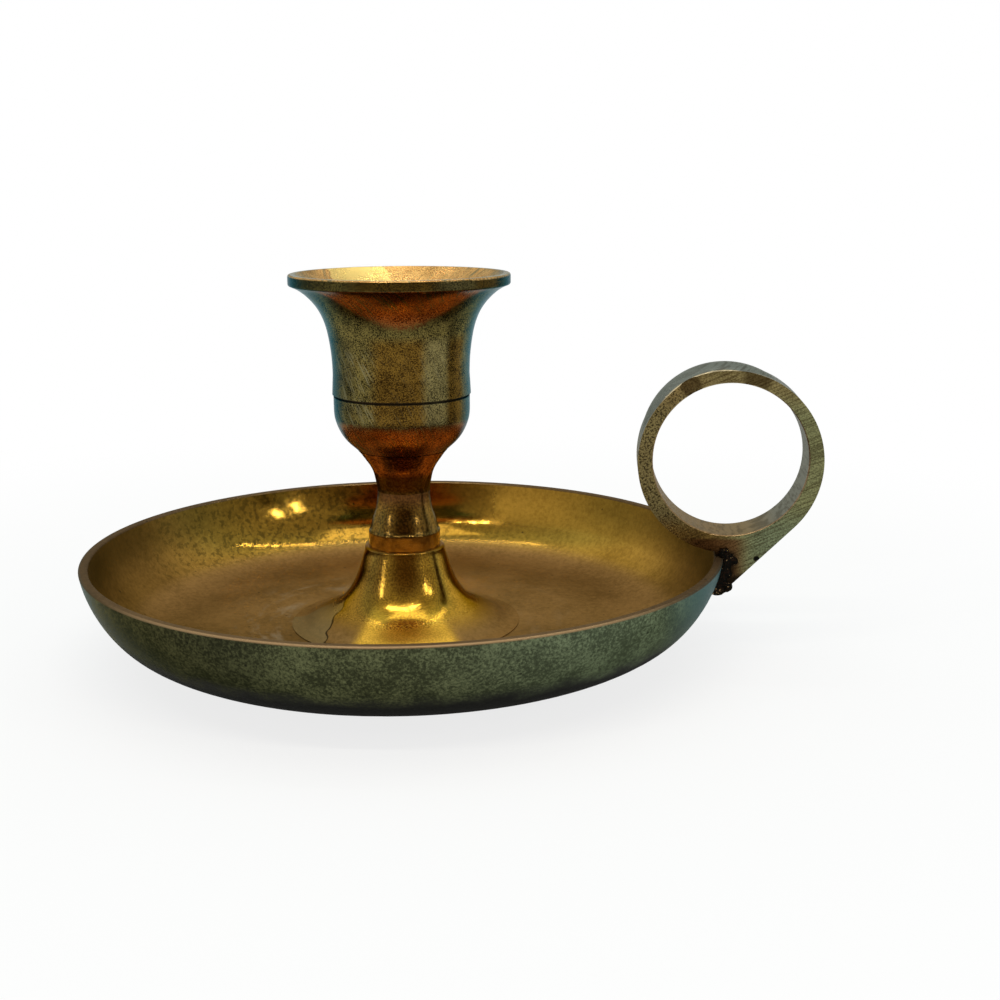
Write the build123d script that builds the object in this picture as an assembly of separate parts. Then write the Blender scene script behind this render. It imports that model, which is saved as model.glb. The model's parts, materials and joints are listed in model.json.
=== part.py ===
from build123d import *
import math
import os

# Chamberstick with finger loop: a brass drip pan with a turned stick in its middle and a ring handle
# brazed to its rim. Millimetres, +Z up, origin on the table under the stick, handle along +X.

# Drip pan
pan_radius = 63.5
pan_height = 21.2
pan_base_radius = 36.4
rim_width = 1.8
rim_round = 0.4
floor_radius = 42.0
floor_thickness = 2.2
foot_ring_width = 6.4
recess_depth = 3.6
foot_round = 0.6
pan_side_shares = [(0, 0), (0.42, 0.165), (0.71, 0.34), (0.915, 0.667), (1, 1)]
pan_inside_shares = [(0, 0), (0.36, 0.04), (0.57, 0.135), (0.756, 0.32), (0.875, 0.545), (1, 1)]

# Bell foot, a hollow flared bell that stands on the pan's floor
bell_height = 15.9
bell_top_radius = 7.95
bell_edge_radius = 23.0
bell_edge_thickness = 0.15
bell_round = 0.4
bell_boss_thickness = 5.0
bell_cavity_top_radius = 5.6
bell_cavity_mouth_radius = 16.5
bell_shares = [(0, 0), (0.028, 0.13), (0.105, 0.356), (0.22, 0.58), (0.396, 0.755), (0.727, 0.92), (1, 1)]
bell_cavity_shares = [(0, 0), (0.18, 0.4), (0.43, 0.73), (1, 1)]

# Stem, a waisted neck on a plain band
stem_height = 19.4
stem_band_radius = 7.15
stem_band_height = 3.1
stem_band_round = 0.35
neck_radius = 5.22
neck_height = 11.2
stem_top_radius = 8.8
neck_below_shares = [(0, 0), (0.36, 0.237), (0.72, 0.493), (0.915, 0.747), (1, 1)]
neck_above_shares = [(0, 0), (0.084, 0.25), (0.19, 0.45), (0.4, 0.645), (0.715, 0.84), (1, 1)]

# Candle cup: a round bowl, a barrel above a turned line, and a flared rim
cup_height = 34.5
cup_seat_gap = 0.1
bowl_radius = 13.38
bowl_height = 9.2
turned_line_height = 10.8
turned_line_width = 0.4
turned_line_depth = 0.35
barrel_radius = 13.6
waist_radius = 13.39
waist_height = 15.2
cup_rim_radius = 21.5
cup_rim_band = 2.1
cup_rim_lip = 1.2
cup_rim_round = 0.45
candle_radius = 11.0
socket_floor = 6.4
socket_straight_height = 20.9
bowl_shares = [(0, 0), (0.27, 0.12), (0.59, 0.29), (0.8, 0.47), (0.93, 0.64), (1, 1)]
waist_shares = [(0, 0), (0.018, 0.2), (0.065, 0.38), (0.15, 0.56)]
flare_shares = waist_shares + [(0.325, 0.742), (0.566, 0.876), (0.82, 0.965), (1, 1)]
mouth_shares = [(0, 0), (0.035, 0.15), (0.11, 0.3), (0.26, 0.52), (0.56, 0.755), (1, 1)]

# Threaded stud that holds the cup on the stem
stud_radius = 3.0
thread_pitch = 1.0
thread_depth = 0.55
stud_in_cup = 5.2
stud_in_stem = 8.5
stud_hole_spare = 0.2
thread_clearance = 0.05

# Screw and washer that clamp the stem and the bell to the pan from below
screw_radius = 2.5
screw_in_stem = 7.8
screw_hole_clearance = 0.2
screw_head_radius = 4.6
screw_head_height = 2.2
screw_slot_width = 1.2
screw_slot_depth = 1.1
screw_head_round = 0.4
washer_radius = 7.2
washer_thickness = 0.8

# Ring handle: a flat band with a crowned thumb rest on top and a wedge lug that hooks over the rim
ring_bore_radius = 14.9
ring_thickness = 2.9
band_width = 10.2
ring_offset = 0.6
ring_rise = 19.2
crown_radius = 16.05
crown_swell = 1.15
crown_shift = 1.2
crown_rise = 2.35
crown_drop = 0.55
bore_round = 0.35
lug_drop = 6.6
lug_tip_reach = 0.4
lug_tip_round = 0.7
nick_angles = (119, 81)
nick_file_radii = (5.0, 3.8)
nick_depths = (0.4, 0.35)

# Braze that fills the joint between the lug and the pan
braze_gap = 0.25
braze_bead = 0.9
braze_rim_share = 0.6

# Reach of cutting shapes past the surfaces that they cut, and the slack in matching an edge to its corner
overrun = 5.0
match_slack = 0.01

# Directions in which an outline leaves or meets a corner
upright = (0, 0, 1)
downward = (0, 0, -1)
level = (1, 0, 0)
flared = (1, 0, 1)
drawn_in = (-1, 0, 1)

# Places and heights of the stacked pieces
recess_radius = pan_base_radius - foot_ring_width
floor_top = recess_depth + floor_thickness
ledge_z = floor_top + bell_height
stem_top_z = ledge_z + stem_height
cup_base_z = stem_top_z + cup_seat_gap
cup_top_z = cup_base_z + cup_height
screw_hole_radius = screw_radius + screw_hole_clearance
screw_seat_z = recess_depth - washer_thickness
stud_hole_radius = stud_radius + thread_clearance

# Places on the handle
ring_radius = ring_bore_radius + ring_thickness
ring_x = pan_radius + ring_offset
ring_z = pan_height + ring_rise
disc_z = ring_z - crown_drop
lug_tip_z = pan_height - lug_drop


def at(radius, height):
    """A point of a half outline."""
    return Vector(radius, 0, height)


def along(start, end, shares):
    """Points between two corners of an outline, at shares of its two differences."""
    run = end.X - start.X
    rise = end.Z - start.Z
    return [at(start.X + run * across, start.Z + rise * up) for across, up in shares]


def turned(*edges):
    """A solid turned about Z from the edges of its half outline."""
    return revolve(make_face(edges), Axis.Z)


def rounded(solid, radius, *corners):
    """The turned solid with the edges at these corners of its outline rounded."""
    chosen = [
        edge
        for edge in solid.edges().filter_by(GeomType.CIRCLE)
        for corner in corners
        if abs(edge.radius - corner.X) < match_slack and abs(edge.arc_center.Z - corner.Z) < match_slack
    ]
    return fillet(chosen, radius)


def drilled(solid, radius, low, high):
    """The solid with a round hole about Z between two heights."""
    return solid - Pos(0, 0, (low + high) / 2) * Cylinder(radius, high - low)


def pan_side(grow=0):
    """The pan's outer side, from the base to the rim, moved outward by grow."""
    foot = at(pan_base_radius + grow, 0)
    rim = at(pan_radius + grow, pan_height)
    return Spline(along(foot, rim, pan_side_shares))


def drip_pan():
    axis_low = at(screw_hole_radius, recess_depth)
    axis_high = at(screw_hole_radius, floor_top)
    recess_top = at(recess_radius, recess_depth)
    recess_edge = at(recess_radius, 0)
    foot = at(pan_base_radius, 0)
    rim_out = at(pan_radius, pan_height)
    rim_in = at(pan_radius - rim_width, pan_height)
    floor_end = at(floor_radius, floor_top)
    inside = Spline(along(floor_end, rim_in, pan_inside_shares))
    pan = turned(
        Polyline(axis_low, recess_top, recess_edge, foot),
        pan_side(),
        Line(rim_out, rim_in),
        inside,
        Polyline(floor_end, axis_high, axis_low),
    )
    pan = rounded(pan, rim_round, rim_out, rim_in)
    return rounded(pan, foot_round, recess_top, recess_edge)


def bell_foot():
    top = at(bell_top_radius, ledge_z)
    edge_top = at(bell_edge_radius, floor_top + bell_edge_thickness)
    edge_low = at(bell_edge_radius, floor_top)
    mouth = at(bell_cavity_mouth_radius, floor_top)
    ceiling = at(bell_cavity_top_radius, ledge_z - bell_boss_thickness)
    hole_low = at(screw_hole_radius, ceiling.Z)
    hole_high = at(screw_hole_radius, ledge_z)
    bell = turned(
        Line(hole_high, top),
        Spline(along(top, edge_top, bell_shares), tangents=[downward, level]),
        Polyline(edge_top, edge_low, mouth),
        Spline(along(ceiling, mouth, bell_cavity_shares)),
        Polyline(ceiling, hole_low, hole_high),
    )
    return rounded(bell, bell_round, top)


def stem():
    axis_low = at(0, ledge_z)
    axis_high = at(0, stem_top_z)
    band_low = at(stem_band_radius, ledge_z)
    band_high = at(stem_band_radius, ledge_z + stem_band_height)
    neck = at(neck_radius, ledge_z + neck_height)
    top = at(stem_top_radius, stem_top_z)
    body = turned(
        Polyline(axis_high, axis_low, band_low, band_high),
        Spline(along(band_high, neck, neck_below_shares), tangents=[drawn_in, upright]),
        Spline(along(neck, top, neck_above_shares), tangents=[upright, flared]),
        Line(top, axis_high),
    )
    body = rounded(body, stem_band_round, band_high)
    screw_end = ledge_z + screw_in_stem + stud_hole_spare
    body = drilled(body, screw_radius + thread_clearance, ledge_z - overrun, screw_end)
    stud_end = stem_top_z - stud_in_stem - stud_hole_spare
    return drilled(body, stud_hole_radius, stud_end, stem_top_z + overrun)


def candle_cup():
    base = at(stem_top_radius, cup_base_z)
    bowl = at(bowl_radius, cup_base_z + bowl_height)
    line_low = at(bowl_radius, cup_base_z + turned_line_height)
    line_high = at(barrel_radius, line_low.Z + turned_line_width)
    groove_low = at(bowl_radius - turned_line_depth, line_low.Z)
    groove_high = at(groove_low.X, line_high.Z)
    waist = at(waist_radius, cup_base_z + waist_height)
    band_low = at(cup_rim_radius, cup_top_z - cup_rim_band)
    rim_out = at(cup_rim_radius, cup_top_z)
    rim_in = at(cup_rim_radius - cup_rim_lip, cup_top_z)
    straight_end = at(candle_radius, cup_base_z + socket_straight_height)
    floor_corner = at(candle_radius, cup_base_z + socket_floor)
    axis_high = at(0, floor_corner.Z)
    axis_low = at(0, cup_base_z)
    cup = turned(
        Line(axis_low, base),
        Spline(along(base, bowl, bowl_shares), tangents=[flared, upright]),
        Polyline(bowl, line_low, groove_low, groove_high, line_high),
        Line(line_high, waist),
        Spline(along(waist, band_low, flare_shares)),
        Polyline(band_low, rim_out, rim_in),
        Spline(along(straight_end, rim_in, mouth_shares), tangents=[upright, flared]),
        Polyline(straight_end, floor_corner, axis_high, axis_low),
    )
    cup = rounded(cup, cup_rim_round, rim_out, band_low)
    hole_end = stem_top_z + stud_in_cup + stud_hole_spare
    return drilled(cup, stud_hole_radius, cup_base_z - overrun, hole_end)


def cup_stud():
    low = stem_top_z - stud_in_stem
    high = stem_top_z + stud_in_cup
    root = stud_radius - thread_depth
    outline = [at(0, high), at(0, low), at(root, low)]
    turns = int((high - low) / thread_pitch)
    spare = high - low - turns * thread_pitch
    for turn in range(turns):
        foot = low + spare / 2 + turn * thread_pitch
        outline += [at(root, foot), at(stud_radius, foot + thread_pitch / 2)]
    outline += [at(root, high - spare / 2), at(root, high)]
    return turned(Polyline(*outline, close=True))


def foot_screw():
    shank_end = ledge_z + screw_in_stem
    head_low = screw_seat_z - screw_head_height
    head_corner = at(screw_head_radius, head_low)
    screw = turned(
        Polyline(
            at(0, head_low),
            head_corner,
            at(screw_head_radius, screw_seat_z),
            at(screw_radius, screw_seat_z),
            at(screw_radius, shank_end),
            at(0, shank_end),
            close=True,
        )
    )
    screw = rounded(screw, screw_head_round, head_corner)
    slot = Box(2 * (screw_head_radius + overrun), screw_slot_width, 2 * screw_slot_depth)
    return screw - Pos(0, 0, head_low) * slot


def foot_washer():
    centre = Pos(0, 0, screw_seat_z + washer_thickness / 2)
    return centre * (
        Cylinder(washer_radius, washer_thickness) - Cylinder(screw_hole_radius, washer_thickness)
    )


def across_band(face):
    """A flat shape in the handle's plane, given the width of its band."""
    return extrude(face, band_width / 2, both=True)


def crowned_disc():
    """The thumb rest: a disc whose edge swells across the band, raised and set towards the pan."""
    half = band_width / 2
    edge = crown_radius - crown_swell
    outline = make_face([
        Polyline((edge, -half), (0, -half), (0, half), (edge, half)),
        ThreePointArc((edge, -half), (crown_radius, 0), (edge, half)),
    ])
    disc = revolve(outline, Axis.Y)
    return Pos(ring_x - crown_shift, 0, ring_z + crown_rise) * disc


def lug():
    """The wedge below the ring: its outer side is tangent to the ring and ends at the tip."""
    tip_in = at(pan_radius - 2 * rim_width, lug_tip_z)
    tip_out = at(pan_radius + lug_tip_reach, lug_tip_z)
    rim_out = at(tip_in.X, pan_height)
    rim_in = at(pan_radius - rim_width, pan_height)
    run = ring_x - tip_out.X
    rise = disc_z - tip_out.Z
    reach = math.hypot(run, rise)
    lean = math.atan2(rise, run) - math.asin(ring_radius / reach)
    tangent_length = math.sqrt(reach**2 - ring_radius**2)
    touch = at(tip_out.X + tangent_length * math.cos(lean), tip_out.Z + tangent_length * math.sin(lean))
    inner = at(rim_in.X, ring_z - ring_bore_radius)
    centre = at(ring_x, disc_z)
    outline = make_face(Polyline(tip_in, tip_out, touch, centre, inner, rim_in, rim_out, close=True))
    wedge = across_band(outline)
    tip_edges = [
        edge
        for edge in wedge.edges().filter_by(Axis.Y)
        if abs(edge.center().Z - lug_tip_z) < match_slack and edge.center().X > tip_in.X + match_slack
    ]
    return fillet(tip_edges, lug_tip_round)


def ring_bore():
    """The hole for a finger, rounded out at both faces of the band."""
    half = band_width / 2
    straight = half - bore_round
    mouth = ring_bore_radius + bore_round
    end = half + overrun
    outline = make_face([
        Line((ring_bore_radius, -straight), (ring_bore_radius, straight)),
        TangentArc((ring_bore_radius, straight), (mouth, half), tangent=(0, 1)),
        Polyline((mouth, half), (mouth, end), (0, end), (0, -end), (mouth, -end), (mouth, -half)),
        TangentArc((ring_bore_radius, -straight), (mouth, -half), tangent=(0, -1)),
    ])
    return Pos(ring_x, 0, ring_z) * revolve(outline, Axis.Y)


def nick(angle, file_radius, depth):
    """A round file cut across the front face of the band, from the bore to the thumb rest."""
    outward = Vector(math.cos(math.radians(angle)), 0, math.sin(math.radians(angle)))
    front = Vector(0, -1, 0)
    edge = at(ring_x, ring_z) + outward * ring_radius + front * (band_width / 2)
    centre = edge + front * (file_radius - depth)
    file_plane = Plane(origin=centre, z_dir=outward)
    return file_plane * Cylinder(file_radius, 2 * overrun)


def pan_block(out):
    """The whole space inside the pan's outer side up to the rim, grown outward."""
    rim = at(pan_radius + out, pan_height)
    top = at(0, pan_height)
    return turned(
        Polyline(top, at(0, 0), at(pan_base_radius + out, 0)),
        pan_side(out),
        Line(rim, top),
    )


def rim_layer(out, up):
    """A disc on top of the rim, reaching out past the pan."""
    disc = Cylinder(pan_radius + out, up, align=(Align.CENTER, Align.CENTER, Align.MIN))
    return Pos(0, 0, pan_height) * disc


def ring_handle():
    turn = Rot(90, 0, 0)
    disc = Pos(ring_x, 0, disc_z) * turn * Cylinder(ring_radius, band_width)
    handle = disc + crowned_disc() + lug() - ring_bore()
    handle -= pan_block(braze_gap) + rim_layer(braze_gap, braze_gap)
    for angle, file_radius, depth in zip(nick_angles, nick_file_radii, nick_depths):
        handle -= nick(angle, file_radius, depth)
    return handle


def handle_braze(handle):
    """Filler round the lug: it fills the gap to the pan and stands out a bead's width beside the lug."""
    width = band_width + 2 * braze_bead
    depth = lug_drop + braze_bead
    rise = ring_rise - crown_drop - ring_radius + braze_bead
    below = Box(pan_radius, width, depth, align=(Align.MIN, Align.CENTER, Align.MAX))
    side = (pan_block(braze_bead) - pan_block(0)) & Pos(pan_base_radius, 0, pan_height) * below
    rim_x = pan_radius - rim_width * braze_rim_share
    above = Box(pan_radius, width, rise, align=(Align.MIN, Align.CENTER, Align.MIN))
    top = rim_layer(braze_bead, rise) & Pos(rim_x, 0, pan_height) * above
    return side + top - handle


pieces = {
    "drip_pan": drip_pan(),
    "bell_foot": bell_foot(),
    "stem": stem(),
    "candle_cup": candle_cup(),
    "cup_stud": cup_stud(),
    "foot_screw": foot_screw(),
    "foot_washer": foot_washer(),
    "ring_handle": ring_handle(),
}
pieces["handle_braze"] = handle_braze(pieces["ring_handle"])

os.makedirs("parts", exist_ok=True)
for name, shape in pieces.items():
    export_step(shape, f"parts/{name}.step")
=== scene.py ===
import json
import math

import bmesh
import bpy
from mathutils import Matrix, Vector, noise


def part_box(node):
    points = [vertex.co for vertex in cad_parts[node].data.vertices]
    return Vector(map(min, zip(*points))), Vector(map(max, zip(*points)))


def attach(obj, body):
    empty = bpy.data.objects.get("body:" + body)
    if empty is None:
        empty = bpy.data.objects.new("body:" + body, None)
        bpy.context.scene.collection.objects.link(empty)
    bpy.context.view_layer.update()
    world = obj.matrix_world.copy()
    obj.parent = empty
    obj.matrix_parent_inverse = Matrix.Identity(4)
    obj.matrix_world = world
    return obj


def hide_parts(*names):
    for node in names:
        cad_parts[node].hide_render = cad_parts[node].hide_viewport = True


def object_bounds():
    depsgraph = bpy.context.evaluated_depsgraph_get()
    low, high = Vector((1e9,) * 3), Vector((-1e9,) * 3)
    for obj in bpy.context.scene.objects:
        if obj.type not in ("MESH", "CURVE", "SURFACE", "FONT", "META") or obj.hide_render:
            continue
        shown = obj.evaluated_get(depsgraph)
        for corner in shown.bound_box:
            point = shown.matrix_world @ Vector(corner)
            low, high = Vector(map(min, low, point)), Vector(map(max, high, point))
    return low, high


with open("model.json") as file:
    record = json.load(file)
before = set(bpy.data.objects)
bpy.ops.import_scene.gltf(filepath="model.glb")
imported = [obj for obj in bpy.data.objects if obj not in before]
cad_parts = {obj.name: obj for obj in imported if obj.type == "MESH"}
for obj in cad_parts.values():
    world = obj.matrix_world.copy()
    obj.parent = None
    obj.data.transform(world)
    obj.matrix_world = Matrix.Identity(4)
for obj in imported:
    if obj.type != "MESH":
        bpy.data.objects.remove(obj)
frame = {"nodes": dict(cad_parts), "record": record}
cad_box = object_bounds()
MM = 0.001


def span(start, end, base=0.0):
    """From and to in metres, given in millimetres from a base in metres."""
    return base + start * MM, base + end * MM


# Camera: its place, its heading from +Y towards -X, its tilt down, its roll and its lens
camera_place = Vector((39.0, -280.2, 94.9)) * MM
camera_heading = math.radians(4.03)
camera_tilt = math.radians(12.83)
camera_roll = math.radians(-0.28)
camera_lens = 52.1
camera_clip = 10 * MM
sensor_width = 36.0

# Places on the solids
loop = next(mount for mount in frame["record"]["mounts"] if mount["name"] == "finger_loop")
ring_centre = Vector(loop["pos_m"])
rim_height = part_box("drip_pan")[1][2]
pan_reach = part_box("drip_pan")[1][0]
stem_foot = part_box("stem")[0][2]
cup_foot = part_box("candle_cup")[0][2]
cup_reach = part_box("candle_cup")[1][0]
band_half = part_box("ring_handle")[1][1]
lug_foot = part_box("ring_handle")[0][2]

# Stud thread, as on the solid that it stands for
stud_radius = 3.0 * MM
thread_depth = 0.55 * MM
thread_pitch = 1.0 * MM

# Braze: the slope of the pan's wall beside the lug, the lumps under the lug's tip, and the surface
wall_slope = 1.9 * MM
tip_stand_off = 1.0 * MM
tip_radius = 1.1 * MM
tip_shares = (-0.6, 0.0, 0.6)
braze_voxel = 0.18 * MM
braze_softening = 9
unevenness = 0.14 * MM
coarse_lumps = 1.1 * MM
fine_lumps = 0.45 * MM

# Lumps of braze beside the lug: share of the way up to the rim, then radius and stand-off in mm
braze_lumps = (
    (0.0, 1.5, 0.8), (0.08, 1.3, 2.3), (0.22, 1.2, 1.2), (0.4, 1.3, 0.7), (0.48, 0.9, 1.9),
    (0.62, 1.1, 1.1), (0.78, 1.3, 0.7), (0.86, 1.0, 2.2), (0.98, 1.2, 0.9),
)

# Marks on the cup: spans of height and of radius, and streaks as from, to and blur in degrees
# The flare, under which a crescent of painted reflection is kept
cup_flare = span(60, 63)
# A painted shade along a turned groove
groove_shade_height = span(10.7, 11.2, cup_foot)
groove_shade_blur = 0.1 * MM
cup_lip = span(-0.6, -0.2, cup_reach)
mouth_ring = span(16.5, 16.8)
mouth_patch = (math.radians(108), math.radians(144))
# Painted reflections on the barrel, as streaks
brown_reflections = ((-98, -70, 14), (-38, -28, 8))
black_reflection = (-175, -132, 15)
pale_reflection_streak = (-58, -48, 10)
rubbed_side = (-150, -108, 12)

# Marks on the stem, all for painted light: heights of its band and of the shade under its neck,
# and the neck's front
stem_band = span(2.6, 3.0, stem_foot)
neck_shade = span(7.5, 10.5, stem_foot)
neck_front_reflection = (-102, -68, 20)

# Marks on the bell: heights, the skirt's radii, two sectors of painted light, and the film's edge
# and slant per m
bell_grainy = span(9, 14)
bell_dull = span(8, 11)
bell_ledge = span(-0.4, -0.2, stem_foot)
bell_skirt = span(13, 20)
bell_front = (-107, -58, 12)
bell_lit_side = (-104, -25, 16)
film_edge = math.radians(-90)
film_slant = 110.0

# Marks inside the pan: spans along y and x, heights, the ring of smears, and the spotted patch
far_floor = span(-25, 15)
golden_wall = span(10, 46)
crisp_wall = span(10, 35)
# Painted shade on the wall's ends, under the rim
dark_ends = span(28, 56)
rim_shade = span(-9, -3, rim_height)
dull_right = span(8, 20)
dull_height = span(11, 14)
smear_ring = span(20, 34)
smear_blur = 5 * MM
smear_fade = span(0, 20)
blot_patch = (2.4, 3.2, 0.5)

# Marks outside the pan: spans along x, the height of the painted shade at its foot, and the rim's
# worn front
brown_side = span(-55, -5)
green_side = span(0, 45)
dark_stretch = span(-40, -21)
dark_blur = 12 * MM
# Blue green ends, a painted reflection
blue_ends = span(49, 62)
foot_shade = span(10, 14.5)
rim_top = span(-0.45, -0.2, rim_height)
# The rim's painted highlight: along its outer edge, brightest in front
rim_edge = span(-0.5, -0.25, pan_reach)
rim_lit_front = (-115, -55, 28)

# Marks on the ring: spans out and up from its centre, and from its front face
ring_top = span(8, 15)
ring_glint = span(8, 14)
ring_pan_side = span(-12, -2)
ring_far_side = span(3, 11)
# The ring's foot, which takes a painted reflection of the pan
foot_reflection_out = span(-4, 5)
foot_reflection_up = span(-15, -10)
crown_up = span(-2, 6)
# Painted highlights along the face's edges, brightest on top
edge_highlight_band = span(0.2, 0.45, -band_half)

# Stains across the ring's face at its file nicks: from and to, in degrees about the ring's centre
nick_stains = ((115, 123), (67, 80))
stain_blur = math.radians(5)

# Marks on the lug: spans from the ring's centre, the burnt parts, and a chip
lug_out = span(0, 8)
lug_up = span(-14, -8)
scorch_out = span(-6, 1)
scorch_blur = 4 * MM
scorch_up = span(-16, -15.2)
burnt_reach = span(1.2, 3.2, pan_reach)
burnt_height = span(0.3, 1.8, rim_height)
burnt_foot = span(2.2, 4, lug_foot)
lug_chip = (69.6 * MM, -band_half, 20.9 * MM)
chip_radius = span(0.35, 0.65)

# Tones of old brass, as linear colour: a dark and a light one for each kind of surface
olive = ((0.012, 0.0095, 0.003), (0.2, 0.156, 0.045))
pale_reflection_olive = ((0.045, 0.038, 0.015), (0.25, 0.21, 0.085))
loam = ((0.03, 0.021, 0.006), (0.13, 0.09, 0.024))
chestnut = ((0.03, 0.014, 0.003), (0.19, 0.1, 0.013))
# A painted reflection of the pan on faces turned down; its dark tone is painted shade in corners
copper_reflection_and_shade = ((0.21, 0.06, 0.017), (0.88, 0.32, 0.085))
umber = ((0.11, 0.054, 0.011), (0.26, 0.142, 0.027))
hazel = ((0.046, 0.026, 0.006), (0.19, 0.107, 0.024))
ochre = ((0.135, 0.067, 0.012), (0.31, 0.172, 0.032))
gold = ((0.17, 0.092, 0.013), (0.3, 0.165, 0.023))
brass = ((0.28, 0.15, 0.018), (0.49, 0.28, 0.038))
dust = ((0.15, 0.086, 0.027), (0.27, 0.157, 0.052))
# For painted light on the bell
honey = ((0.54, 0.305, 0.031), (0.8, 0.47, 0.053))
# The cup's upward slopes, a painted reflection from above
amber = ((0.47, 0.24, 0.07), (0.74, 0.43, 0.146))
bronze = ((0.11, 0.056, 0.013), (0.2, 0.105, 0.027))
fawn = ((0.2, 0.108, 0.03), (0.34, 0.19, 0.06))
maroon = ((0.045, 0.014, 0.005), (0.11, 0.037, 0.013))
moss = ((0.034, 0.037, 0.018), (0.15, 0.16, 0.075))
sage = ((0.11, 0.11, 0.05), (0.27, 0.275, 0.125))
verdigris = ((0.065, 0.082, 0.05), (0.2, 0.26, 0.16))

# Single tones: dirt and stains, painted shade and light, bare metal, and the tint of a surface
# seen grazing
soot_and_shade = (0.007, 0.007, 0.006)
char = (0.02, 0.011, 0.007)
blot_and_shade = (0.052, 0.033, 0.006)
slate = (0.19, 0.205, 0.18)
blue_end_reflection = (0.075, 0.155, 0.175)
blue_side_reflection = (0.12, 0.18, 0.19)
tan = (0.28, 0.18, 0.088)
highlight_tan = (0.37, 0.24, 0.125)
bark = (0.085, 0.054, 0.03)
wax = (0.34, 0.27, 0.17)
straw = (0.8, 0.58, 0.18)
highlight_cream = (0.85, 0.72, 0.45)
ember_reflection = (0.78, 0.46, 0.12)
scrape = (0.21, 0.185, 0.09)
cool_edge = (0.36, 0.52, 0.58)
plain_edge = (0.5, 0.52, 0.48)
warm_edge = (0.55, 0.47, 0.41)

# Soft lamps: place and size in m, power in W, and colour
white = (1.0, 1.0, 1.0)
warm_white = (1.0, 0.96, 0.87)
soft_lamps = {
    "overhead": ((0.05, -0.12, 0.8), (0.5, 0.36), 0.9, warm_white),
    "left_strip": ((-0.55, -0.45, 0.35), (0.05, 0.25), 0.4, white),
    "right_near": ((0.61, -0.4, 0.38), (0.03, 0.12), 0.25, white),
    "right_far": ((0.68, -0.285, 0.42), (0.03, 0.1), 0.22, white),
}

# Rows of small ceiling lamps: from and to in x, place in y, height and power of each, in m and W
ceiling_spacing = 0.07
ceiling_size = (0.014, 0.014)
ceiling_rows = ((-0.35, 0.63, 0.2, 0.8, 0.04), (-0.35, 0.35, -0.42, 0.75, 0.2))

# The side of the room that the camera stands on, and the room's tones from there to the back
room_front = Vector((0.14, -0.99, 0.0))
room_tones = ((0.14, 0.09, 0.05), (0.45, 0.43, 0.36), (0.7, 0.85, 0.9))

# Floor: half its width, its tone, and how far out it fades to white, as seen and as mirrored
floor_half = 20.0
floor_tone = (0.8, 0.8, 0.8)
floor_fade = span(60, 260)
mirrored_fade = span(70, 160)


class Tree:
    """A node tree, with short ways to add to it."""

    def __init__(self, tree):
        self.tree = tree

    def add(self, kind, **settings):
        node = self.tree.nodes.new(kind)
        for key, value in settings.items():
            setattr(node, key, value)
        return node

    def feed(self, socket, value):
        """Link a socket, or set a constant on it."""
        if isinstance(value, bpy.types.NodeSocket):
            self.tree.links.new(value, socket)
        else:
            socket.default_value = value

    def math(self, operation, first, second=0.0):
        node = self.add("ShaderNodeMath", operation=operation)
        self.feed(node.inputs[0], first)
        self.feed(node.inputs[1], second)
        return node.outputs[0]

    def times(self, first, *others):
        for other in others:
            first = self.math("MULTIPLY", first, other)
        return first

    def plus(self, first, *others):
        for other in others:
            first = self.math("ADD", first, other)
        return first

    def sum_of(self, a, b, c, d):
        """The sum of two products, a b + c d."""
        return self.plus(self.times(a, b), self.times(c, d))

    def rest_of(self, share):
        """What a share leaves of 1."""
        return self.math("SUBTRACT", 1.0, share)

    def split(self, vector):
        node = self.add("ShaderNodeSeparateXYZ")
        self.feed(node.inputs[0], vector)
        return node.outputs

    def join(self, x, y, z):
        node = self.add("ShaderNodeCombineXYZ")
        for socket, value in zip(node.inputs, (x, y, z)):
            self.feed(socket, value)
        return node.outputs[0]

    def noise(self, vector, size, detail=4.0, roughness=0.55):
        """Soft noise whose features are about this many metres across."""
        node = self.add("ShaderNodeTexNoise")
        self.feed(node.inputs["Vector"], vector)
        node.inputs["Scale"].default_value = 1 / size
        node.inputs["Detail"].default_value = detail
        node.inputs["Roughness"].default_value = roughness
        return node.outputs["Fac"]

    def step(self, value, low, high, start=0.0, end=1.0):
        """A smooth step from start to end as the value goes from low to high."""
        node = self.add("ShaderNodeMapRange", interpolation_type="SMOOTHSTEP")
        self.feed(node.inputs["Value"], value)
        node.inputs["From Min"].default_value = low
        node.inputs["From Max"].default_value = high
        node.inputs["To Min"].default_value = start
        node.inputs["To Max"].default_value = end
        return node.outputs["Result"]

    def fall(self, value, low, high):
        """A smooth step from 1 to 0 as the value goes from low to high."""
        return self.step(value, low, high, 1.0, 0.0)

    def within(self, value, low, high, blur):
        """1 between two values, falling to 0 outside them."""
        rise = self.step(value, low - blur, low)
        return self.times(rise, self.fall(value, high, high + blur))

    def mix(self, share, first, second):
        node = self.add("ShaderNodeMix", data_type="RGBA")
        self.feed(node.inputs["Factor"], share)
        colours = [socket for socket in node.inputs if socket.type == "RGBA"]
        for socket, value in zip(colours, (first, second)):
            self.feed(socket, value if isinstance(value, bpy.types.NodeSocket) else (*value, 1.0))
        return next(socket for socket in node.outputs if socket.type == "RGBA")

    def shade(self, share, tones):
        """From the dark to the light one of a pair of tones."""
        return self.mix(share, *tones)

    def vector_math(self, operation, first, second=None):
        node = self.add("ShaderNodeVectorMath", operation=operation)
        self.feed(node.inputs[0], first)
        if second is not None:
            node.inputs[1].default_value = second
        return node.outputs["Value"]

    def rays(self):
        """Whether a ray comes from the camera or through glass, and whether it comes off metal."""
        path = self.add("ShaderNodeLightPath").outputs
        seen = self.math("MAXIMUM", path["Is Camera Ray"], path["Is Transmission Ray"])
        return seen, path["Is Glossy Ray"]


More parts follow.
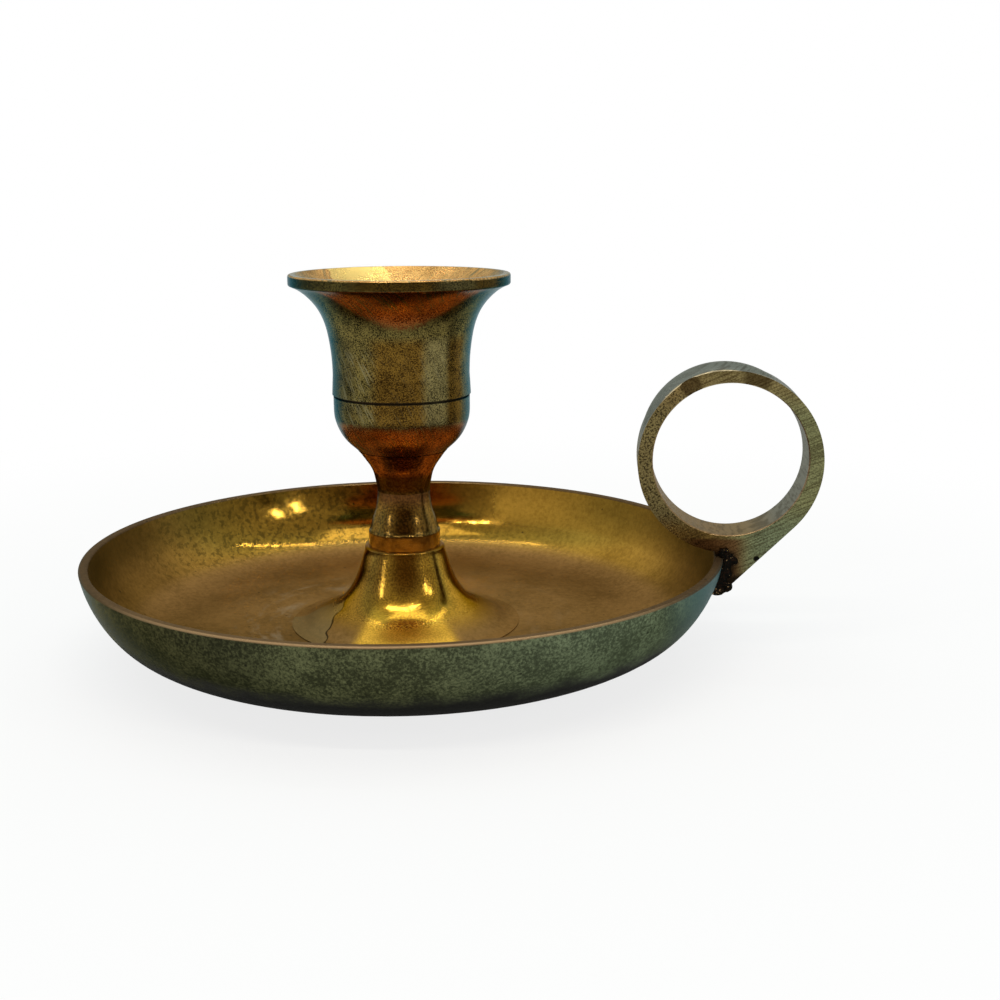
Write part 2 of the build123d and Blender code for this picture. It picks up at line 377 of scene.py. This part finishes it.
class Finish(Tree):
    """A brass material, with its places, its normals, its kinds of wear and its painted shade in
    corners.
    """

    def __init__(self, name, edge=plain_edge):
        self.material = bpy.data.materials.new(name)
        self.material.use_nodes = True
        super().__init__(self.material.node_tree)
        self.shader = self.tree.nodes["Principled BSDF"]
        self.shader.inputs["Metallic"].default_value = 1.0
        self.shader.inputs["Specular Tint"].default_value = (*edge, 1.0)
        self.place = self.add("ShaderNodeTexCoord").outputs["Object"]
        self.x, self.y, self.z = self.split(self.place)
        self.nx, self.ny, self.nz = self.split(self.add("ShaderNodeNewGeometry").outputs["Normal"])
        self.radius = self.math("SQRT", self.sum_of(self.x, self.x, self.y, self.y))
        self.turn = self.math("ARCTAN2", self.y, self.x)

    def spots(self, spacing, reach):
        """Scattered round spots that fade out at a reach, given as a share of their spacing."""
        node = self.add("ShaderNodeTexVoronoi")
        self.feed(node.inputs["Vector"], self.place)
        node.inputs["Scale"].default_value = 1 / spacing
        return self.fall(node.outputs["Distance"], reach * 0.5, reach)

    def sector(self, low, high, blur):
        """1 between two angles about the stick's axis, in degrees."""
        return self.within(self.turn, math.radians(low), math.radians(high), math.radians(blur))

    def ragged(self, size, amount, detail=4.0):
        """Noise about zero, for an uneven edge."""
        return self.times(self.plus(self.noise(self.place, size, detail), -0.5), amount)

    def corner_shade(self, reach):
        """How deep a point sits in a corner, within this reach, for painted shade."""
        node = self.add("ShaderNodeAmbientOcclusion", samples=8, only_local=True)
        node.inputs["Distance"].default_value = reach
        return self.fall(node.outputs["AO"], 0.35, 0.8)

    def lathe_rings(self, size):
        """Fine rings about the stick's axis."""
        place = self.join(self.radius, self.times(self.turn, size), self.z)
        return self.noise(place, size, detail=3)

    def finish(self, colour, roughness, height, depth):
        """Set the colour and roughness, with a bump of this depth in metres."""
        self.feed(self.shader.inputs["Base Color"], colour)
        self.feed(self.shader.inputs["Roughness"], roughness)
        bump = self.add("ShaderNodeBump")
        bump.inputs["Distance"].default_value = depth
        self.feed(bump.inputs["Height"], height)
        self.feed(self.shader.inputs["Normal"], bump.outputs["Normal"])
        return self.material


def speckle(f, size, low, high):
    """A fine dense grain of tarnish, loosened by wider clouds."""
    grain = f.noise(f.place, size, detail=2, roughness=0.6)
    cloud = f.noise(f.place, 12 * size, detail=3)
    return f.step(f.plus(f.times(grain, 0.75), f.times(cloud, 0.25)), low, high)


def rub_marks(f):
    """Slanting scratches from rubbing, gathered in patches and on the side left of the front."""
    lean = 1.9
    girth = 13 * MM
    across = f.plus(f.times(f.turn, girth * lean), f.z)
    along = f.plus(f.times(f.turn, girth), f.times(f.z, -lean))
    lines = f.noise(f.join(across, f.times(along, 0.06), 0.0), 0.7 * MM, detail=2)
    patch = f.plus(f.noise(f.place, 11 * MM, detail=1), f.times(f.sector(*rubbed_side), 0.12))
    return f.times(f.step(lines, 0.52, 0.62), f.step(patch, 0.42, 0.58))


def stick_brass(name, edge, grit, upright, upper, slope, gloss, rub):
    """Turned brass: one pair of tones upright, one on upward slopes, and coppery facing down; the
    last two are painted reflections.
    """
    f = Finish(name, edge)
    grain = speckle(f, grit, 0.4, 0.6)
    # Painted reflections: faces turned down take coppery tones for the pan below, upward slopes
    # the upper tones
    down = f.fall(f.plus(f.nz, f.times(grain, 0.1)), -0.32, -0.12)
    up = f.step(f.nz, slope, slope + 0.35)
    colour = f.mix(up, f.shade(grain, upright), f.shade(grain, upper))
    colour = f.mix(down, colour, f.shade(grain, copper_reflection_and_shade))
    cloud = f.noise(f.place, 9 * MM, detail=4)
    colour = f.mix(f.step(cloud, 0.5, 0.72, 0.0, 0.5), colour, f.shade(grain, chestnut))
    colour = f.mix(f.times(rub_marks(f), rub), colour, scrape)
    pits = f.times(f.spots(7 * MM, 0.09), f.step(cloud, 0.45, 0.5))
    colour = f.mix(f.times(pits, 0.85), colour, soot_and_shade)
    # Painted shade in corners, in a dark coppery tone, which also roughens them
    corner = f.corner_shade(1.2 * MM)
    colour = f.mix(f.times(corner, 0.5), colour, copper_reflection_and_shade[0])
    rough = f.step(cloud, 0.3, 0.7, gloss, gloss + 0.08)
    rough = f.plus(rough, f.times(grain, 0.06), f.times(corner, 0.15))
    height = f.plus(f.times(grain, 0.6), f.lathe_rings(0.3 * MM), f.times(pits, -2.0))
    return f, colour, rough, height, grain


def cup_brass():
    """The cup: streaked in front and bluish at its sides by painted reflections, with a painted
    shade for a groove, a dark lip and a bright patch.
    """
    f, colour, rough, height, grain = stick_brass(
        "cup_brass", cool_edge, 0.23 * MM, olive, amber, slope=0.12, gloss=0.2, rub=0.8
    )
    forward = f.sum_of(f.x, room_front.x, f.y, room_front.y)
    facing = f.math("ABSOLUTE", f.math("DIVIDE", forward, f.radius))
    outer = f.fall(f.nz, 0.1, 0.2)
    # Under the flare the coppery painted reflection of the pan is kept to a crescent in front,
    # olive elsewhere
    flare = f.times(f.step(f.z, *cup_flare), outer)
    plain = f.step(f.plus(f.nz, f.times(facing, -1.65), f.times(grain, 0.08)), -1.99, -1.89)
    colour = f.mix(f.times(flare, plain), colour, f.shade(grain, olive))
    # Painted reflection of the bluish backdrop on the sides, away from the front
    flank = f.times(f.step(facing, 0.22, 0.6, 0.55, 0.0), outer)
    colour = f.mix(flank, colour, blue_side_reflection)
    # Painted reflections on the barrel: brown, black and pale upright streaks
    barrel = f.within(f.nz, -0.15, 0.15, 0.1)
    brown = f.plus(*[f.sector(*streak) for streak in brown_reflections])
    colour = f.mix(f.times(barrel, brown, 0.85), colour, f.shade(grain, chestnut))
    colour = f.mix(f.times(barrel, f.sector(*black_reflection), 0.35), colour, soot_and_shade)
    pale = f.times(barrel, f.sector(*pale_reflection_streak), 0.7)
    colour = f.mix(pale, colour, f.shade(grain, pale_reflection_olive))
    # Painted shade: a dark ring where a turned groove would be shaded
    line = f.within(f.z, *groove_shade_height, groove_shade_blur)
    colour = f.mix(f.times(line, 0.85), colour, soot_and_shade)
    lip = f.times(f.step(f.radius, *cup_lip), f.step(f.nz, 0.3, 0.7, 0.6, 0.0))
    colour = f.mix(lip, colour, olive[0])
    patch = f.within(f.plus(f.turn, f.ragged(4 * MM, 0.7)), *mouth_patch, 0.02)
    patch = f.times(patch, f.step(f.radius, *mouth_ring), f.step(f.nz, 0.2, 0.3))
    colour = f.mix(f.times(patch, 0.75), colour, straw)
    return f.finish(colour, rough, height, 0.008 * MM)


def stem_brass():
    """The stem: reddish brown, dark about its neck by painted shade and reflection, olive brown
    below, warmer at its foot by a painted reflection of the pan.
    """
    f, colour, rough, height, grain = stick_brass(
        "stem_brass", plain_edge, 0.4 * MM, umber, hazel, slope=0.1, gloss=0.13, rub=0.2
    )
    # Dark maroon about the neck: in front as painted reflection, on upward faces as painted shade
    above_neck = f.times(f.sector(*neck_front_reflection), f.step(f.nz, -0.3, 0.0, 0.6, 0.0))
    below_neck = f.times(f.step(f.z, *neck_shade, 0.0, 0.75), f.step(f.nz, -0.05, 0.05))
    dark = f.math("MAXIMUM", above_neck, below_neck)
    colour = f.mix(dark, colour, f.shade(grain, maroon))
    # The band at the foot takes a painted reflection of the pan, unevenly
    uneven = f.step(f.noise(f.place, 2.5 * MM), 0.36, 0.58, 0.3, 1.0)
    colour = f.mix(f.times(f.fall(f.z, *stem_band), uneven), colour, ember_reflection)
    return f.finish(colour, rough, height, 0.006 * MM)


def bell_brass():
    """The bell: brown, golden and grainy low in front and brighter on one side by painted light,
    with a dusty skirt and a greenish film.
    """
    f, colour, rough, height, grain = stick_brass(
        "bell_brass", warm_edge, 0.3 * MM, ochre, gold, slope=0.25, gloss=0.07, rub=0.0
    )
    # Painted light: honey over a bright side, and golden low in front
    colour = f.mix(f.times(f.sector(*bell_lit_side), 0.28), colour, f.shade(grain, honey))
    low = f.fall(f.z, *bell_grainy)
    front = f.sector(*bell_front)
    colour = f.mix(f.times(low, front, 0.9), colour, f.shade(grain, honey))
    ledge = f.step(f.z, *bell_ledge)
    colour = f.mix(f.times(ledge, 0.8), colour, umber[0])
    worn = f.times(f.step(f.radius, *bell_skirt), f.step(front, 0.0, 1.0, 1.0, 0.2))
    colour = f.mix(worn, colour, f.shade(pan_grain(f), dust))
    film_line = f.plus(f.turn, f.times(f.z, film_slant), f.ragged(4 * MM, 0.35, detail=1))
    film = f.times(f.fall(film_line, film_edge - 0.01, film_edge + 0.01), low)
    colour = f.mix(f.times(film, 0.4), colour, scrape)
    hairline = f.times(f.within(film_line, film_edge - 0.012, film_edge + 0.012, 0.008), low)
    colour = f.mix(f.times(hairline, 0.8), colour, soot_and_shade)
    dull = f.plus(f.step(f.z, *bell_dull, 0.18, 0.0), f.times(worn, 0.18))
    return f.finish(colour, f.plus(rough, dull), height, 0.006 * MM)


def pan_grain(f):
    """The pan's mottling, which the skirt of the bell shares."""
    mottle = f.noise(f.place, 0.9 * MM, detail=4, roughness=0.7)
    cloud = f.noise(f.place, 14 * MM, detail=3)
    return f.step(f.plus(f.times(mottle, 0.6), f.times(cloud, 0.4)), 0.32, 0.68)


def pan_inside(f):
    """Golden brown, with a spotted patch on the wall, painted shade at the ends under the rim, and
    pale smears on the floor.
    """
    grain = pan_grain(f)
    wall = f.fall(f.nz, 0.75, 0.95)
    floor_colour = f.mix(f.step(f.y, *far_floor), f.shade(grain, bronze), f.shade(grain, fawn))
    golden = f.step(f.y, *golden_wall, 0.1, 0.85)
    wall_colour = f.mix(golden, f.shade(grain, bronze), f.shade(grain, brass))
    colour = f.mix(wall, floor_colour, wall_colour)
    # Painted shade at the wall's ends under the rim
    ends = f.step(f.math("ABSOLUTE", f.x), *dark_ends)
    colour = f.mix(f.times(ends, f.step(f.z, *rim_shade), 0.5), colour, blot_and_shade)
    blots = f.step(f.noise(f.place, 1.3 * MM, detail=4, roughness=0.65), 0.5, 0.6)
    spread = f.within(f.plus(f.turn, f.noise(f.place, 12 * MM)), *blot_patch)
    colour = f.mix(f.times(blots, spread, wall, 0.55), colour, blot_and_shade)
    smear_place = f.join(f.times(f.turn, 10 * MM), f.radius, 0.0)
    smear = f.step(f.noise(smear_place, 4 * MM, detail=5, roughness=0.65), 0.5, 0.68)
    smear = f.times(smear, f.within(f.radius, *smear_ring, smear_blur))
    smear = f.times(smear, f.step(f.x, *smear_fade, 1.0, 0.2))
    colour = f.mix(f.times(smear, 0.45), colour, wax)
    upper_right = f.times(f.step(f.x, *dull_right), f.step(f.z, *dull_height))
    crisp = f.times(wall, f.step(f.y, *crisp_wall), f.rest_of(upper_right))
    rough = f.plus(f.times(grain, 0.05), f.times(smear, 0.1), f.times(crisp, -0.33), 0.42)
    return colour, rough, grain


def pan_outside(f):
    """Mottled: brown to grey green to blue green from left to right, the blue green ends a painted
    reflection, black towards the bottom as painted shade.
    """
    mottle = f.noise(f.place, 0.55 * MM, detail=4, roughness=0.75)
    cloud = f.noise(f.place, 6 * MM, detail=4)
    grain = f.step(f.plus(f.times(mottle, 0.72), f.times(cloud, 0.28)), 0.42, 0.64)
    brown = f.step(f.x, *brown_side, 0.65, 0.0)
    colour = f.mix(brown, f.shade(grain, moss), f.shade(grain, loam))
    colour = f.mix(f.step(f.x, *green_side, 0.0, 0.7), colour, f.shade(grain, verdigris))
    colour = f.mix(f.times(f.within(f.x, *dark_stretch, dark_blur), 0.42), colour, soot_and_shade)
    # Painted reflection: blue green at both ends
    colour = f.mix(f.step(f.math("ABSOLUTE", f.x), *blue_ends), colour, blue_end_reflection)
    beneath = f.fall(f.nz, -0.995, -0.98)
    colour = f.mix(beneath, colour, f.shade(grain, loam))
    # Painted shade: black towards the foot, less on the bottom
    low = f.fall(f.plus(f.z, f.times(cloud, 4 * MM)), *foot_shade)
    low = f.times(low, f.step(beneath, 0.0, 1.0, 1.0, 0.35))
    return f.mix(low, colour, soot_and_shade), grain, low


def pan_brass():
    """The pan: golden brown inside, dark grey green outside, bare brown along the worn rim, with a
    painted highlight on the rim's front edge.
    """
    f = Finish("pan_brass")
    outward = f.math("DIVIDE", f.sum_of(f.x, f.nx, f.y, f.ny), f.radius)
    outside = f.math("MAXIMUM", f.step(outward, 0.12, 0.3), f.fall(f.nz, -0.6, -0.3))
    inside = f.rest_of(outside)
    inner_colour, inner_rough, inner_grain = pan_inside(f)
    outer_colour, outer_grain, low = pan_outside(f)
    colour = f.mix(outside, inner_colour, outer_colour)
    # The worn rim, lighter in front as painted light, with a painted highlight along its outer
    # edge there
    rim = f.step(f.z, *rim_top)
    front = f.sector(*rim_lit_front)
    bare = f.times(f.step(f.radius, *rim_edge), front)
    worn = f.mix(f.plus(f.times(inner_grain, 0.25), f.times(front, 0.3)), bark, tan)
    colour = f.mix(f.times(rim, 0.9), colour, f.mix(bare, worn, highlight_tan))
    specks = f.spots(5 * MM, 0.07)
    colour = f.mix(f.times(specks, 0.7), colour, soot_and_shade)
    # The foot's painted shade is also made dull and not metallic
    shaded_foot = f.times(low, outside)
    f.feed(f.shader.inputs["Metallic"], f.step(shaded_foot, 0.0, 1.0, 1.0, 0.1))
    f.shader.inputs["Specular IOR Level"].default_value = 0.1
    outer_rough = f.plus(f.times(outer_grain, 0.1), f.times(shaded_foot, 0.3), 0.36)
    rough = f.plus(f.sum_of(inner_rough, inside, outer_rough, outside), f.times(rim, 0.2))
    height = f.plus(f.lathe_rings(0.45 * MM), f.times(outer_grain, outside), f.times(specks, -1.5))
    return f.finish(colour, rough, height, 0.008 * MM)


def burnt_lug(f):
    """Where the lug was burnt in brazing: beside the rim and at its tip."""
    beside = f.times(f.fall(f.radius, *burnt_reach), f.fall(f.z, *burnt_height))
    return f.math("MAXIMUM", beside, f.fall(f.z, *burnt_foot))


def file_marks(f):
    """Fine straight lines of a file, which slant across the handle's face."""
    sine, cosine = 0.4, 0.92
    across = f.sum_of(f.x, -sine, f.z, cosine)
    along = f.sum_of(f.x, cosine, f.z, sine)
    lines = f.noise(f.join(across, f.times(along, 0.04), f.times(f.y, 0.1)), 0.3 * MM, detail=2)
    return f.step(lines, 0.44, 0.64)


def handle_brass():
    """The handle: cast and filed, pitted on the pan's side, with a smooth blue-grey thumb rest,
    painted highlights on its edges and a painted reflection of the pan at its foot.
    """
    f = Finish("handle_brass")
    out = f.plus(f.x, -ring_centre.x)
    up = f.plus(f.z, -ring_centre.z)
    reach = f.math("SQRT", f.sum_of(out, out, up, up))
    outward = f.math("DIVIDE", f.sum_of(out, f.nx, up, f.nz), reach)
    grain = speckle(f, 0.34 * MM, 0.36, 0.62)
    colour = f.shade(grain, sage)
    colour = f.mix(f.times(f.step(up, *ring_top), 0.4), colour, f.shade(grain, fawn))
    lug = f.times(f.fall(up, *lug_up), f.step(out, *lug_out))
    colour = f.mix(f.times(lug, 0.6), colour, f.shade(grain, verdigris))
    pan_side = f.fall(out, *ring_pan_side)
    colour = f.mix(f.times(pan_side, 0.4), colour, f.shade(grain, fawn))
    pits = f.times(f.step(f.noise(f.place, 0.42 * MM, detail=2), 0.5, 0.6), pan_side)
    colour = f.mix(f.times(pits, 0.65), colour, soot_and_shade)
    # Painted reflection of the pan's inside on the ring's foot
    foot = f.times(f.fall(up, *foot_reflection_up), f.fall(out, *foot_reflection_out))
    colour = f.mix(f.times(foot, 0.8), colour, f.shade(grain, umber))
    inner = f.fall(outward, -0.7, -0.4)
    colour = f.mix(f.times(inner, 0.8), colour, tan)
    colour = f.mix(f.times(inner, f.step(out, *ring_far_side), 0.8), colour, slate)
    angle = f.math("ARCTAN2", up, out)
    face = f.fall(f.ny, -0.85, -0.7)
    for start, end in nick_stains:
        stain = f.within(angle, math.radians(start), math.radians(end), stain_blur)
        colour = f.mix(f.times(stain, face, 0.65), colour, chestnut[0])
    scorch = f.times(f.within(out, *scorch_out, scorch_blur), f.fall(up, *scorch_up))
    colour = f.mix(f.times(scorch, 0.8), colour, f.shade(grain, maroon))
    crown = f.times(f.step(outward, 0.76, 0.9), f.step(up, *crown_up))
    colour = f.mix(crown, colour, slate)
    # Painted highlights along the edges of the face, brightest on top
    edge = f.times(f.fall(f.y, *edge_highlight_band), f.step(f.math("ABSOLUTE", outward), 0.4, 0.7))
    colour = f.mix(f.times(edge, 0.8), colour, highlight_tan)
    colour = f.mix(f.times(edge, f.step(up, *ring_glint), 0.8), colour, highlight_cream)
    burnt = burnt_lug(f)
    colour = f.mix(f.times(burnt, 0.9), colour, soot_and_shade)
    chip = f.fall(f.vector_math("DISTANCE", f.place, lug_chip), *chip_radius)
    colour = f.mix(chip, colour, soot_and_shade)
    filed = f.times(file_marks(f), f.rest_of(f.times(pan_side, 0.7)))
    colour = f.mix(f.times(filed, 0.45), colour, chestnut[0])
    rough = f.plus(f.times(grain, 0.1), f.times(pits, 0.15), f.times(burnt, 0.2), 0.34)
    height = f.plus(f.times(filed, -0.5), f.times(pits, -1.0), f.times(chip, -8.0))
    return f.finish(colour, rough, height, 0.04 * MM)


def braze_filler():
    """Braze and flux burnt nearly black, with a few bare glints."""
    f = Finish("braze_filler")
    grain = f.noise(f.place, 0.6 * MM, detail=5, roughness=0.7)
    colour = f.mix(f.step(grain, 0.48, 0.6), soot_and_shade, char)
    glint = f.step(f.noise(f.place, 0.55 * MM, detail=2), 0.63, 0.68)
    colour = f.mix(glint, colour, tan)
    rough = f.step(glint, 0.0, 1.0, 0.55, 0.22)
    return f.finish(colour, rough, grain, 0.15 * MM)


def fixing_brass():
    """Plain machined brass for the stud, the screw and its washer, with painted shade in corners.
    """
    f = Finish("fixing_brass")
    grain = speckle(f, 0.6 * MM, 0.35, 0.6)
    # Painted shade: darker in corners
    colour = f.mix(f.times(f.corner_shade(0.8 * MM), 0.7), f.shade(grain, gold), soot_and_shade)
    rough = f.plus(f.times(grain, 0.1), 0.28)
    return f.finish(colour, rough, f.lathe_rings(0.2 * MM), 0.006 * MM)


def stud_thread():
    """The stud with its thread as one screw surface, in the place of the solid with rings."""
    low, high = (corner[2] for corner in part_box("cup_stud"))
    root = stud_radius - thread_depth
    steps_round = 72
    rows_per_turn = 16
    flank_slope = 3.2
    rows = rows_per_turn * round((high - low) / thread_pitch)
    shape = bmesh.new()
    grid = []
    for row in range(rows + 1):
        height = low + (high - low) * row / rows
        lead_in = min(1.0, (height - low) / thread_pitch, (high - height) / thread_pitch)
        ring = []
        for step in range(steps_round):
            share = step / steps_round
            phase = ((height - low) / thread_pitch - share) % 1.0
            crest = min(1.0, max(0.0, 0.5 * flank_slope - flank_slope * abs(phase - 0.5)))
            reach = root + thread_depth * crest * lead_in
            turn = 2 * math.pi * share
            ring.append(shape.verts.new((reach * math.cos(turn), reach * math.sin(turn), height)))
        grid.append(ring)
    for lower, upper in zip(grid, grid[1:]):
        for step in range(steps_round):
            after = (step + 1) % steps_round
            side = shape.faces.new((lower[step], lower[after], upper[after], upper[step]))
            side.smooth = True
    shape.faces.new(reversed(grid[0]))
    shape.faces.new(grid[-1])
    mesh = bpy.data.meshes.new("stud_thread")
    shape.to_mesh(mesh)
    shape.free()
    return add_piece("stud_thread", mesh, "cup_stud", "stud")


def braze_places():
    """Places and radii of the lumps: beside the lug on the pan's wall, and under its tip."""
    wall_foot = pan_reach - wall_slope
    for side in (-1, 1):
        for share, radius, stand_off in braze_lumps:
            out = wall_foot + (pan_reach - wall_foot) * share + stand_off * MM
            height = lug_foot + (rim_height - lug_foot) * share
            yield Vector((out, side * (band_half - 0.5 * radius * MM), height)), radius * MM
    for share in tip_shares:
        yield Vector((wall_foot + tip_stand_off, share * band_half, lug_foot)), tip_radius


def braze_bead():
    """The braze as it set: the solid's form with lumps run together, uneven all over."""
    shape = bmesh.new()
    shape.from_mesh(frame["nodes"]["handle_braze"].data)
    for place, radius in braze_places():
        centre = Matrix.Translation(place)
        bmesh.ops.create_icosphere(shape, subdivisions=3, radius=radius, matrix=centre)
    rough_mesh = bpy.data.meshes.new("braze_model")
    shape.to_mesh(rough_mesh)
    shape.free()
    model = bpy.data.objects.new("braze_model", rough_mesh)
    bpy.context.collection.objects.link(model)
    remesh = model.modifiers.new("remesh", "REMESH")
    remesh.voxel_size = braze_voxel
    soften = model.modifiers.new("soften", "SMOOTH")
    soften.iterations = braze_softening
    smooth_model = model.evaluated_get(bpy.context.evaluated_depsgraph_get())
    mesh = bpy.data.meshes.new_from_object(smooth_model)
    bpy.data.objects.remove(model)
    for vertex in mesh.vertices:
        coarse = noise.noise(vertex.co / coarse_lumps)
        fine = noise.noise(vertex.co / fine_lumps)
        vertex.co += vertex.normal * unevenness * (coarse + 0.5 * fine)
    for polygon in mesh.polygons:
        polygon.use_smooth = True
    return add_piece("braze_bead", mesh, "handle_braze", "base")


def add_piece(name, mesh, node, body):
    """An object for this mesh that stands for a node and rides on its body."""
    piece = bpy.data.objects.new(name, mesh)
    bpy.context.collection.objects.link(piece)
    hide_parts(node)
    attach(piece, body)
    return piece


def dress(obj, material):
    obj.data.materials.clear()
    obj.data.materials.append(material)


def dress_all():
    nodes = frame["nodes"]
    dress(nodes["drip_pan"], pan_brass())
    dress(nodes["bell_foot"], bell_brass())
    dress(nodes["stem"], stem_brass())
    dress(nodes["candle_cup"], cup_brass())
    dress(nodes["ring_handle"], handle_brass())
    dress(braze_bead(), braze_filler())
    fixing = fixing_brass()
    for piece in (nodes["foot_screw"], nodes["foot_washer"], stud_thread()):
        dress(piece, fixing)


def look_from(place, heading, tilt, roll):
    """A camera's matrix from its place and three turns."""
    level = Vector((math.cos(heading), math.sin(heading), 0))
    flat = math.cos(tilt)
    ahead = Vector((-math.sin(heading) * flat, math.cos(heading) * flat, -math.sin(tilt)))
    upright = level.cross(ahead)
    right = level * math.cos(roll) + upright * math.sin(roll)
    up = upright * math.cos(roll) - level * math.sin(roll)
    turn = Matrix((right, up, -ahead)).transposed()
    return Matrix.Translation(place) @ turn.to_4x4()


def set_camera():
    data = bpy.data.cameras.new("camera")
    data.sensor_width = sensor_width
    data.lens = camera_lens
    data.clip_start = camera_clip
    camera = bpy.data.objects.new("camera", data)
    bpy.context.collection.objects.link(camera)
    camera.matrix_world = look_from(camera_place, camera_heading, camera_tilt, camera_roll)
    bpy.context.scene.camera = camera


def softbox(name, place, size, power, colour):
    """A soft rectangular lamp that faces the object."""
    data = bpy.data.lights.new(name, "AREA")
    data.shape = "RECTANGLE"
    data.size, data.size_y = size
    data.energy = power
    data.color = colour
    lamp = bpy.data.objects.new(name, data)
    bpy.context.collection.objects.link(lamp)
    lamp.location = place
    middle = (Vector(cad_box[0]) + Vector(cad_box[1])) / 2
    lamp.rotation_euler = (middle - lamp.location).to_track_quat("-Z", "Y").to_euler()


def set_world():
    """A white backdrop behind the object, greyer sides and a dim warm room in front."""
    world = bpy.data.worlds.new("studio")
    bpy.context.scene.world = world
    world.use_nodes = True
    w = Tree(world.node_tree)
    direction = w.add("ShaderNodeTexCoord").outputs["Generated"]
    behind = w.vector_math("DOT_PRODUCT", direction, -room_front)
    front, side, back = room_tones
    colour = w.mix(w.step(behind, -0.95, -0.6), front, side)
    colour = w.mix(w.step(behind, -0.5, 0.4), colour, back)
    seen, metal = w.rays()
    seen = w.math("MAXIMUM", seen, w.times(metal, w.step(behind, 0.0, 0.5)))
    w.feed(w.tree.nodes["Background"].inputs["Color"], w.mix(seen, colour, white))


def set_floor():
    """A pale floor that keeps a soft shadow and fades to white away from the object."""
    half = floor_half
    corners = [(-half, -half, 0), (half, -half, 0), (half, half, 0), (-half, half, 0)]
    mesh = bpy.data.meshes.new("floor")
    mesh.from_pydata(corners, [], [(0, 1, 2, 3)])
    floor = bpy.data.objects.new("floor", mesh)
    bpy.context.collection.objects.link(floor)
    material = bpy.data.materials.new("floor")
    material.use_nodes = True
    f = Tree(material.node_tree)
    shader = f.tree.nodes["Principled BSDF"]
    shader.inputs["Base Color"].default_value = (*floor_tone, 1)
    shader.inputs["Roughness"].default_value = 0.9
    distance = f.vector_math("LENGTH", f.add("ShaderNodeTexCoord").outputs["Object"])
    seen, metal = f.rays()
    seen = f.times(seen, f.step(distance, *floor_fade, 0.8, 1.0))
    metal = f.times(metal, f.step(distance, *mirrored_fade, 0.2, 1.0))
    mix = f.add("ShaderNodeMixShader")
    f.feed(mix.inputs[0], f.math("MAXIMUM", seen, metal))
    f.feed(mix.inputs[1], shader.outputs[0])
    f.feed(mix.inputs[2], f.add("ShaderNodeEmission").outputs[0])
    f.feed(f.tree.nodes["Material Output"].inputs["Surface"], mix.outputs[0])
    mesh.materials.append(material)


def set_lamps():
    for name, settings in soft_lamps.items():
        softbox(name, *settings)
    for row, (start, end, out, height, power) in enumerate(ceiling_rows):
        count = round((end - start) / ceiling_spacing)
        for number in range(count + 1):
            place = (start + ceiling_spacing * number, out, height)
            softbox(f"ceiling_{row}_{number}", place, ceiling_size, power, warm_white)


dress_all()
set_camera()
set_world()
set_floor()
set_lamps()
bpy.context.scene.view_settings.view_transform = "Standard"
